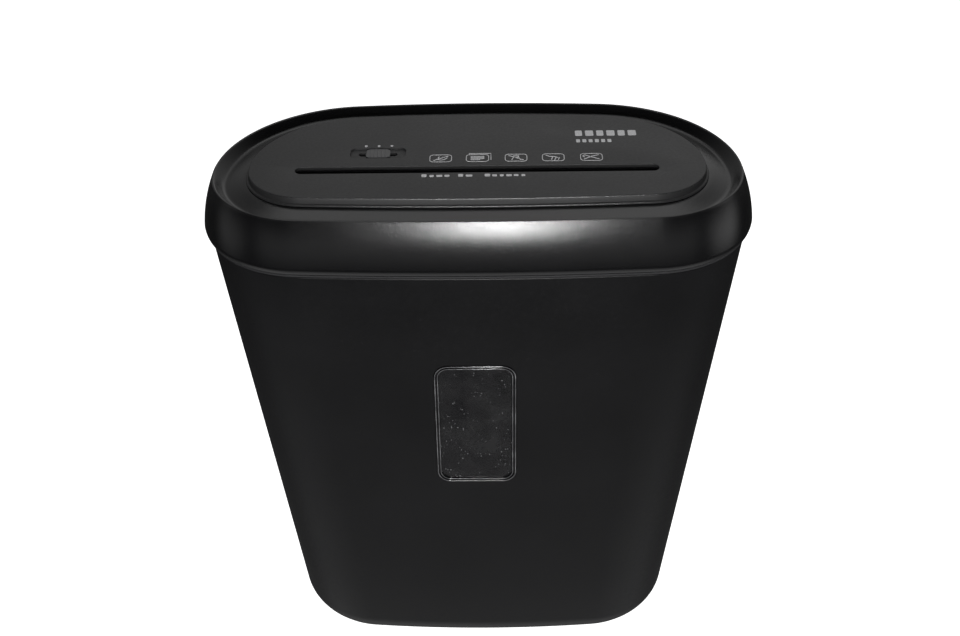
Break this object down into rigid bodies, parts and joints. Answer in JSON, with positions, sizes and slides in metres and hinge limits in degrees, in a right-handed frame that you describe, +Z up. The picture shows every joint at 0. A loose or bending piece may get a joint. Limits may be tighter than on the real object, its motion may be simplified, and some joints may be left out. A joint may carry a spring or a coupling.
{
  "type": "paper shredder",
  "caption": "Desktop paper shredder: tapered bin with a front window and a lift-off head holding a feed slot, meshing cutter shafts, geared motor and controls.",
  "frame": {"origin": "middle of the footprint, on the floor under the feet", "axes": "+Z up, the front with the window is -Y, +X is to the right seen from the front"},
  "size_m": [0.3374, 0.1684, 0.3521],
  "materials": {
    "bin_plastic": "fine-textured black moulding",
    "window_clear": "clear smoked insert",
    "foot_rubber": "matt",
    "head_plastic": "fine satin texture",
    "panel_plastic": "charcoal, fine matt texture",
    "print_grey": "pad print",
    "housing_plastic": "moulded",
    "plate_steel": "zinc plated",
    "fastener_steel": "plated",
    "bush_bronze": "sintered",
    "cutter_steel": "hardened",
    "spacer_plastic": "moulded",
    "gear_steel": "sintered",
    "gear_nylon": "acetal",
    "rotor_steel": "laminated",
    "board_green": "solder mask",
    "relay_blue": "moulded",
    "capacitor": "sleeve",
    "connector_white": "moulded",
    "switch_black": "moulded",
    "knob_grey": "moulded",
    "plunger_red": "moulded",
    "gland_rubber": "matt",
    "cutout_white": "ceramic-like"
  },
  "bodies": {
    "bin": {"bin": "bin_plastic", "bin_window": "window_clear", "bin_feet": "foot_rubber"},
    "front_cutter": {"cutter_shaft_front": "cutter_steel", "cutter_discs_front": "cutter_steel", "spacers_front": "spacer_plastic", "sync_gear_front": "gear_steel"},
    "rear_cutter": {"cutter_shaft_rear": "cutter_steel", "cutter_discs_rear": "cutter_steel", "spacers_rear": "spacer_plastic", "sync_gear_rear": "gear_steel", "drive_gear": "gear_steel"},
    "idler_1": {"compound_gear_1": "gear_nylon"},
    "idler_2": {"compound_gear_2": "gear_nylon"},
    "rotor": {"motor_rotor": "rotor_steel", "motor_pinion": "bush_bronze", "cooling_fan": "housing_plastic"},
    "knob": {"switch_knob": "knob_grey"},
    "lever": {"sensor_lever": "gear_nylon"},
    "plunger": {"interlock_plunger": "plunger_red"},
    "head": {"top_cover": "head_plastic", "feed_panel": "panel_plastic", "panel_marks": "print_grey", "lower_housing": "housing_plastic", "paper_chute": "housing_plastic", "side_plate_left": "plate_steel", "side_plate_right": "plate_steel", "tie_rods": "plate_steel", "frame_screws": "fastener_steel", "frame_pads": "foot_rubber", "bushes_left": "bush_bronze", "bushes_right": "bush_bronze", "stripper_front": "housing_plastic", "stripper_rear": "housing_plastic", "axle_pins": "fastener_steel", "gear_guard": "housing_plastic", "motor_can": "plate_steel", "motor_endcap": "housing_plastic", "motor_standoffs": "fastener_steel", "motor_screws": "fastener_steel", "control_board": "board_green", "board_relay": "relay_blue", "board_capacitors": "capacitor", "board_connectors": "connector_white", "switch_body": "switch_black", "sensor_bracket": "plate_steel", "sensor_switch": "switch_black", "interlock_guide": "housing_plastic", "interlock_switch": "switch_black", "cord_gland": "gland_rubber", "cover_screws": "fastener_steel", "thermal_cutout": "cutout_white"}
  },
  "joints": [
    {"name": "head_lift", "type": "slide", "parent": "bin", "child": "head", "axis": [0, 0, 1], "range_m": [0, 0.12]},
    {"name": "rear_cutter_spin", "type": "hinge", "parent": "head", "child": "rear_cutter", "pos_m": [0, -0.005, 0.3], "axis": [1, 0, 0], "continuous": true},
    {"name": "front_cutter_spin", "type": "hinge", "parent": "head", "child": "front_cutter", "pos_m": [0, -0.032, 0.3], "axis": [1, 0, 0], "continuous": true},
    {"name": "idler_2_spin", "type": "hinge", "parent": "head", "child": "idler_2", "pos_m": [0, 0.01708, 0.27548], "axis": [1, 0, 0], "continuous": true},
    {"name": "idler_1_spin", "type": "hinge", "parent": "head", "child": "idler_1", "pos_m": [0, 0.024, 0.30209], "axis": [1, 0, 0], "continuous": true},
    {"name": "rotor_spin", "type": "hinge", "parent": "head", "child": "rotor", "pos_m": [0, 0.034, 0.27701], "axis": [1, 0, 0], "continuous": true},
    {"name": "switch_slide", "type": "slide", "parent": "head", "child": "knob", "axis": [1, 0, 0], "range_m": [-0.006, 0.006]},
    {"name": "paper_lever", "type": "hinge", "parent": "head", "child": "lever", "pos_m": [0, -0.0055, 0.335], "axis": [1, 0, 0], "range_deg": [0, 22], "stiffness_Nm_per_rad": 0.004, "springref_deg": -17.19},
    {"name": "interlock_press", "type": "slide", "parent": "head", "child": "plunger", "axis": [0, 0, 1], "range_m": [0, 0.003], "stiffness_N_per_m": 200, "springref_m": -0.002}
  ],
  "couplings": [
    {"joint": "front_cutter_spin", "follows": "rear_cutter_spin", "ratio": -1},
    {"joint": "idler_2_spin", "follows": "rear_cutter_spin", "ratio": -2.6667},
    {"joint": "idler_1_spin", "follows": "rear_cutter_spin", "ratio": 7.1111},
    {"joint": "rotor_spin", "follows": "rear_cutter_spin", "ratio": -31.289}
  ]
}
